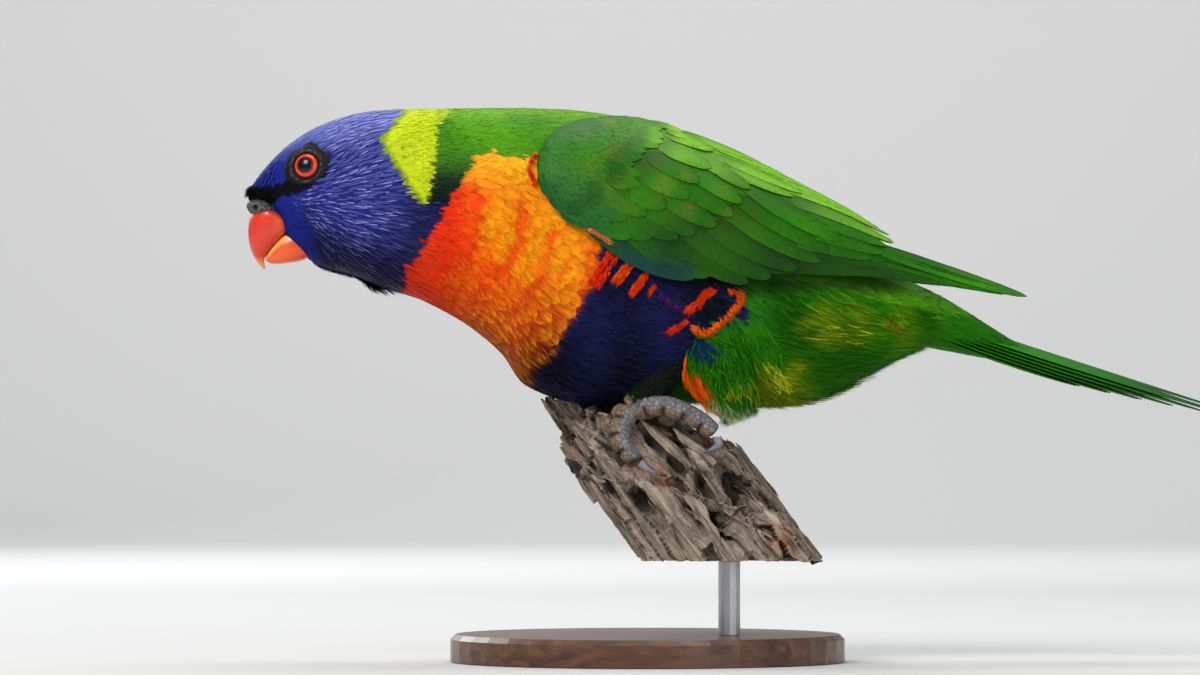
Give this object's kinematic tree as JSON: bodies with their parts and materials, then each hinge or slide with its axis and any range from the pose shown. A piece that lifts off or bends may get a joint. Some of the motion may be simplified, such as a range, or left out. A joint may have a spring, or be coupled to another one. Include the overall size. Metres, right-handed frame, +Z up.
{
  "type": "rainbow lorikeet museum model",
  "caption": "Life-size still model of a rainbow lorikeet leaning forward off a splintered piece of hollow limb, held on rods over a round base",
  "frame": {"origin": "under the middle of the whole object's bounding box, on the surface that the base stands on", "axes": "+Z up; the bird faces -X, so +X runs from its bill to its tail; its left side faces -Y"},
  "size_m": [0.2904, 0.116, 0.1627],
  "materials": {
    "head_plumage": "violet-blue feathers with paler streaks, matt",
    "nape_plumage": "lime-yellow collar and green mantle feathers, matt",
    "breast_plumage": "orange and red feathers, matt",
    "belly_plumage": "dark violet-blue feathers, matt",
    "rump_plumage": "green feathers, matt",
    "thigh_plumage": "green downy feathers, matt",
    "wing_feathers": "green vaned feathers, satin",
    "tail_feathers": "green vaned feathers, yellower below, satin",
    "bill": "orange-red horn, glossy",
    "cere": "dark grey-brown bare skin",
    "eye": "red iris round a black pupil, wet gloss",
    "foot": "grey scaly skin with brownish pads",
    "claw": "grey horn, smooth",
    "perch_wood": "weathered splintered wood, grey-brown",
    "stand_wood": "dark stained wood, satin",
    "stand_metal": "brushed steel"
  },
  "bodies": {
    "root": {"head": "head_plumage", "bill_upper": "bill", "bill_lower": "bill", "cere": "cere", "neck": "nape_plumage", "chest": "breast_plumage", "belly": "belly_plumage", "rump": "rump_plumage", "wing_left": "wing_feathers", "wing_right": "wing_feathers", "tail": "tail_feathers", "eye_left": "eye", "eye_right": "eye", "thigh_left": "thigh_plumage", "thigh_right": "thigh_plumage", "foot_left": "foot", "foot_right": "foot", "claw_left_front_outer": "claw", "claw_left_front_inner": "claw", "claw_left_rear_outer": "claw", "claw_left_rear_inner": "claw", "claw_right_front_outer": "claw", "claw_right_front_inner": "claw", "claw_right_rear_outer": "claw", "claw_right_rear_inner": "claw", "perch": "perch_wood", "stand_base": "stand_wood", "stand_rod_left": "stand_metal", "stand_rod_right": "stand_metal"}
  },
  "joints": []
}
